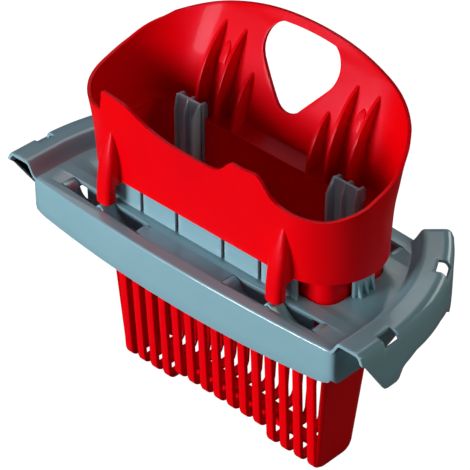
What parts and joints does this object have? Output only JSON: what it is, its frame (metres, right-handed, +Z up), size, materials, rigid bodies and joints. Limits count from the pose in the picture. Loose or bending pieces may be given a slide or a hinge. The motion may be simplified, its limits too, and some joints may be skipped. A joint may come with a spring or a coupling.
{
  "type": "mop press wringer insert",
  "caption": "Rim-hung press wringer insert: a sprung red hopper slides down on a grey frame and squeezes a folded flat mop over a slatted drain basket.",
  "frame": {"origin": "middle of the flat foot of the drain basket", "axes": "+X along the long side towards the right rim hook, +Y towards the high back wall, +Z up"},
  "size_m": [0.286, 0.1301, 0.2411],
  "materials": {
    "red_plastic": "glossy moulded polypropylene",
    "grey_plastic": "glossy moulded polypropylene, blue-grey"
  },
  "bodies": {
    "frame": {"frame_moulding": "grey_plastic", "front_right_leaf_spring": "grey_plastic", "front_left_leaf_spring": "grey_plastic", "rear_right_leaf_spring": "grey_plastic", "rear_left_leaf_spring": "grey_plastic", "right_guide_tower": "grey_plastic", "left_guide_tower": "grey_plastic"},
    "insert": {"hopper": "red_plastic", "drain_basket": "red_plastic"},
    "front_fingers": {"front_press_finger_1": "grey_plastic", "front_press_finger_2": "grey_plastic", "front_press_finger_3": "grey_plastic", "front_press_finger_4": "grey_plastic", "front_press_finger_5": "grey_plastic"},
    "rear_fingers": {"rear_press_finger_1": "grey_plastic", "rear_press_finger_2": "grey_plastic", "rear_press_finger_3": "grey_plastic", "rear_press_finger_4": "grey_plastic", "rear_press_finger_5": "grey_plastic"},
    "right_collar_end": {"right_collar_end": "grey_plastic"},
    "left_collar_end": {"left_collar_end": "grey_plastic"}
  },
  "joints": [
    {"name": "insert_slide", "type": "slide", "parent": "frame", "child": "insert", "axis": [0, 0, -1], "range_m": [0, 0.014], "stiffness_N_per_m": 3000, "springref_m": -0.002, "deforming": ["front_right_leaf_spring", "front_left_leaf_spring", "rear_right_leaf_spring", "rear_left_leaf_spring"]},
    {"name": "front_finger_flex", "type": "hinge", "parent": "frame", "child": "front_fingers", "pos_m": [0, -0.0321, 0.133], "axis": [-1, 0, 0], "range_deg": [0, 4]},
    {"name": "rear_finger_flex", "type": "hinge", "parent": "frame", "child": "rear_fingers", "pos_m": [0, 0.0321, 0.133], "axis": [1, 0, 0], "range_deg": [0, 4]},
    {"name": "right_collar_flex", "type": "hinge", "parent": "frame", "child": "right_collar_end", "pos_m": [0.0961, 0, 0.133], "axis": [0, -1, 0], "range_deg": [0, 3]},
    {"name": "left_collar_flex", "type": "hinge", "parent": "frame", "child": "left_collar_end", "pos_m": [-0.0961, 0, 0.133], "axis": [0, 1, 0], "range_deg": [0, 3]}
  ],
  "couplings": [
    {"joint": "front_finger_flex", "follows": "insert_slide", "rad_per_m": 4.9},
    {"joint": "rear_finger_flex", "follows": "insert_slide", "rad_per_m": 4.9},
    {"joint": "right_collar_flex", "follows": "insert_slide", "rad_per_m": 3.7},
    {"joint": "left_collar_flex", "follows": "insert_slide", "rad_per_m": 3.7}
  ]
}
